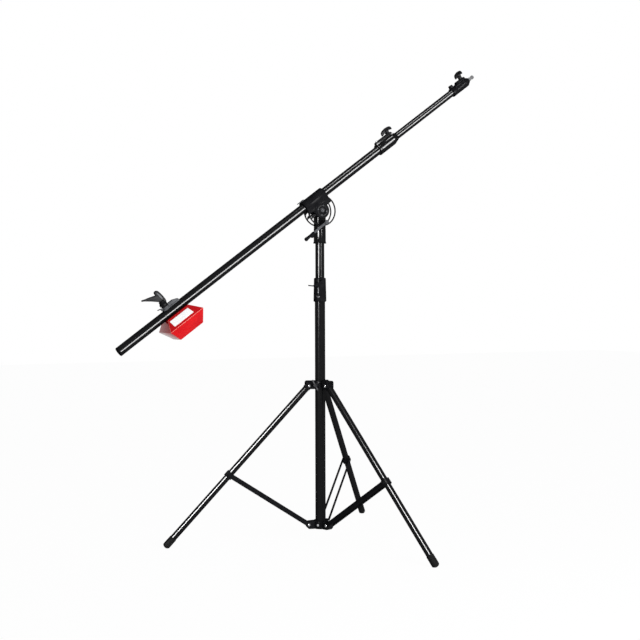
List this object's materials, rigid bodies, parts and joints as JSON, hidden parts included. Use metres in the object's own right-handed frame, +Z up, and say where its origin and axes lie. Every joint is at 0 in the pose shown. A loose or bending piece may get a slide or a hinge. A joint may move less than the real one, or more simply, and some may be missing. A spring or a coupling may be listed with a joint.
{
  "type": "overhead boom arm",
  "caption": "Telescopic boom on a folding tripod stand, with a slotted half-moon tilt head, a locking telescopic column, a stud at the front end and a sliding red counterweight at the tail",
  "frame": {"origin": "on the floor, under the middle of the whole object in the stored pose", "axes": "+Z up along the column; the boom lies over the X axis with its stud end up at +X; the camera side is -Y"},
  "size_m": [1.553, 1.0188, 1.8995],
  "materials": {
    "black_tube": "gloss black enamel",
    "black_casting": "satin black powder coat",
    "black_plastic": "moulded, satin",
    "foot_rubber": "matt",
    "bright_steel": "bright",
    "grey_metal": "dark zinc, brushed",
    "red_paint": "gloss red enamel"
  },
  "bodies": {
    "column_base": {"spreader_hub": "black_casting", "hub_clamp_bolt": "bright_steel", "column_lower_tube": "black_tube", "column_foot_plug": "black_plastic", "column_collar": "black_casting", "brace_pin_a": "bright_steel", "brace_pin_b": "bright_steel", "brace_pin_c": "bright_steel"},
    "column_lock": {"column_lock_lever": "black_plastic"},
    "leg_slider": {"leg_collar": "black_casting", "leg_pin_a": "bright_steel", "leg_pin_b": "bright_steel", "leg_pin_c": "bright_steel"},
    "leg_lock": {"leg_lock_screw": "black_plastic"},
    "leg_a": {"leg_tube_a": "black_tube", "leg_plug_a": "black_plastic", "leg_foot_a": "foot_rubber", "brace_clip_a": "black_plastic"},
    "brace_a": {"brace_left_a": "black_casting", "brace_right_a": "black_casting"},
    "leg_b": {"leg_tube_b": "black_tube", "leg_plug_b": "black_plastic", "leg_foot_b": "foot_rubber", "brace_clip_b": "black_plastic"},
    "brace_b": {"brace_left_b": "black_casting", "brace_right_b": "black_casting"},
    "leg_c": {"leg_tube_c": "black_tube", "leg_plug_c": "black_plastic", "leg_foot_c": "foot_rubber", "brace_clip_c": "black_plastic"},
    "brace_c": {"brace_left_c": "black_casting", "brace_right_c": "black_casting"},
    "column_upper": {"column_upper_tube": "black_tube", "column_guide_bush": "black_plastic"},
    "head": {"head_socket": "black_casting", "socket_screw": "bright_steel", "tilt_pivot_bolt": "grey_metal", "tilt_clamp_bolt": "grey_metal", "tilt_clamp_washer": "black_casting"},
    "tilt_lever": {"tilt_lever_bar": "grey_metal", "tilt_lever_grip": "black_plastic"},
    "cradle": {"sector_plate_front": "black_casting", "sector_plate_back": "black_casting", "hub_disc_front": "black_casting", "hub_disc_back": "black_casting", "cradle_saddle": "black_casting"},
    "boom_lock": {"boom_clamp_screw": "grey_metal"},
    "boom_main": {"boom_tube": "black_tube", "boom_tail_cap": "black_plastic", "extension_collar": "black_casting"},
    "extension_lock": {"extension_knob": "black_plastic"},
    "boom_extension": {"extension_tube": "black_tube", "extension_guide_bush": "black_plastic", "head_casting": "black_casting", "casting_nut": "black_casting"},
    "stud_spigot": {"stud": "bright_steel"},
    "stud_lock": {"stud_knob": "black_plastic"},
    "counterweight": {"counterweight_block": "red_paint", "counterweight_yoke": "grey_metal"},
    "counterweight_lock": {"counterweight_screw": "black_plastic"}
  },
  "joints": [
    {"name": "leg_collar_slide", "type": "slide", "parent": "column_base", "child": "leg_slider", "axis": [0, 0, 1], "range_m": [0, 0.2858]},
    {"name": "leg_a_fold", "type": "hinge", "parent": "leg_slider", "child": "leg_a", "pos_m": [-0.0024, 0.09381, 0.605], "axis": [-0.2731, -0.962, 0], "range_deg": [0, 38.71]},
    {"name": "leg_b_fold", "type": "hinge", "parent": "leg_slider", "child": "leg_b", "pos_m": [0.05369, 0.03602, 0.605], "axis": [0.9697, 0.2445, 0], "range_deg": [0, 38.71]},
    {"name": "leg_c_fold", "type": "hinge", "parent": "leg_slider", "child": "leg_c", "pos_m": [0.07569, 0.1135, 0.605], "axis": [-0.6965, 0.7175, 0], "range_deg": [0, 38.71]},
    {"name": "brace_a_fold", "type": "hinge", "parent": "column_base", "child": "brace_a", "pos_m": [-0.00471, 0.09447, 0.0663], "axis": [0.2731, 0.962, 0], "range_deg": [0, 52.19]},
    {"name": "brace_b_fold", "type": "hinge", "parent": "column_base", "child": "brace_b", "pos_m": [0.05428, 0.03369, 0.0663], "axis": [-0.9697, -0.2445, 0], "range_deg": [0, 52.19]},
    {"name": "brace_c_fold", "type": "hinge", "parent": "column_base", "child": "brace_c", "pos_m": [0.07741, 0.11517, 0.0663], "axis": [0.6965, -0.7175, 0], "range_deg": [0, 52.19]},
    {"name": "leg_lock_turn", "type": "hinge", "parent": "leg_slider", "child": "leg_lock", "pos_m": [0.04233, 0.08111, 0.6085], "axis": [-0.788, -0.6157, 0], "continuous": true},
    {"name": "column_lock_turn", "type": "hinge", "parent": "column_base", "child": "column_lock", "pos_m": [0.04233, 0.08111, 1.008], "axis": [-0.1736, -0.9848, 0], "range_deg": [-60, 60]},
    {"name": "column_slide", "type": "slide", "parent": "column_base", "child": "column_upper", "axis": [0, 0, 1], "range_m": [-0.13, 0.5]},
    {"name": "head_swivel", "type": "hinge", "parent": "column_upper", "child": "head", "pos_m": [0.04233, 0.08111, 1.2], "axis": [0, 0, 1], "continuous": true},
    {"name": "tilt_lever_turn", "type": "hinge", "parent": "head", "child": "tilt_lever", "pos_m": [0.04233, 0.08111, 1.237], "axis": [0, -1, 0], "range_deg": [-60, 60]},
    {"name": "boom_tilt", "type": "hinge", "parent": "head", "child": "cradle", "pos_m": [0.04233, 0.08111, 1.285], "axis": [0, -1, 0], "range_deg": [-96.2, 35.7]},
    {"name": "boom_lock_turn", "type": "hinge", "parent": "cradle", "child": "boom_lock", "pos_m": [-0.01772, 0.08111, 1.29926], "axis": [-0.5912, 0, 0.8065], "range_deg": [-90, 90]},
    {"name": "boom_slide", "type": "slide", "parent": "cradle", "child": "boom_main", "axis": [0.8065, 0, 0.5912], "range_m": [-0.2, 0.2]},
    {"name": "extension_knob_turn", "type": "hinge", "parent": "boom_main", "child": "extension_lock", "pos_m": [0.37023, 0.08111, 1.58361], "axis": [-0.5912, 0, 0.8065], "continuous": true},
    {"name": "extension_slide", "type": "slide", "parent": "boom_main", "child": "boom_extension", "axis": [0.8065, 0, 0.5912], "range_m": [-0.3, 0.3]},
    {"name": "stud_turn", "type": "hinge", "parent": "boom_extension", "child": "stud_spigot", "pos_m": [0.01454, 0.08111, 1.32291], "axis": [0.8065, 0, 0.5912], "continuous": true},
    {"name": "stud_knob_turn", "type": "hinge", "parent": "boom_extension", "child": "stud_lock", "pos_m": [0.7243, 0.08111, 1.84314], "axis": [-0.5912, 0, 0.8065], "continuous": true},
    {"name": "counterweight_slide", "type": "slide", "parent": "boom_main", "child": "counterweight", "axis": [-0.8065, 0, -0.5912], "range_m": [-0.4, 0.15]},
    {"name": "counterweight_screw_turn", "type": "hinge", "parent": "counterweight", "child": "counterweight_lock", "pos_m": [-0.57625, 0.08111, 0.88988], "axis": [-0.5912, 0, 0.8065], "continuous": true}
  ],
  "couplings": [
    {"joint": "leg_a_fold", "follows": "leg_collar_slide", "rad_per_m": 2.3633},
    {"joint": "leg_b_fold", "follows": "leg_collar_slide", "rad_per_m": 2.3633},
    {"joint": "leg_c_fold", "follows": "leg_collar_slide", "rad_per_m": 2.3633},
    {"joint": "brace_a_fold", "follows": "leg_collar_slide", "rad_per_m": 3.1863},
    {"joint": "brace_b_fold", "follows": "leg_collar_slide", "rad_per_m": 3.1863},
    {"joint": "brace_c_fold", "follows": "leg_collar_slide", "rad_per_m": 3.1863}
  ]
}
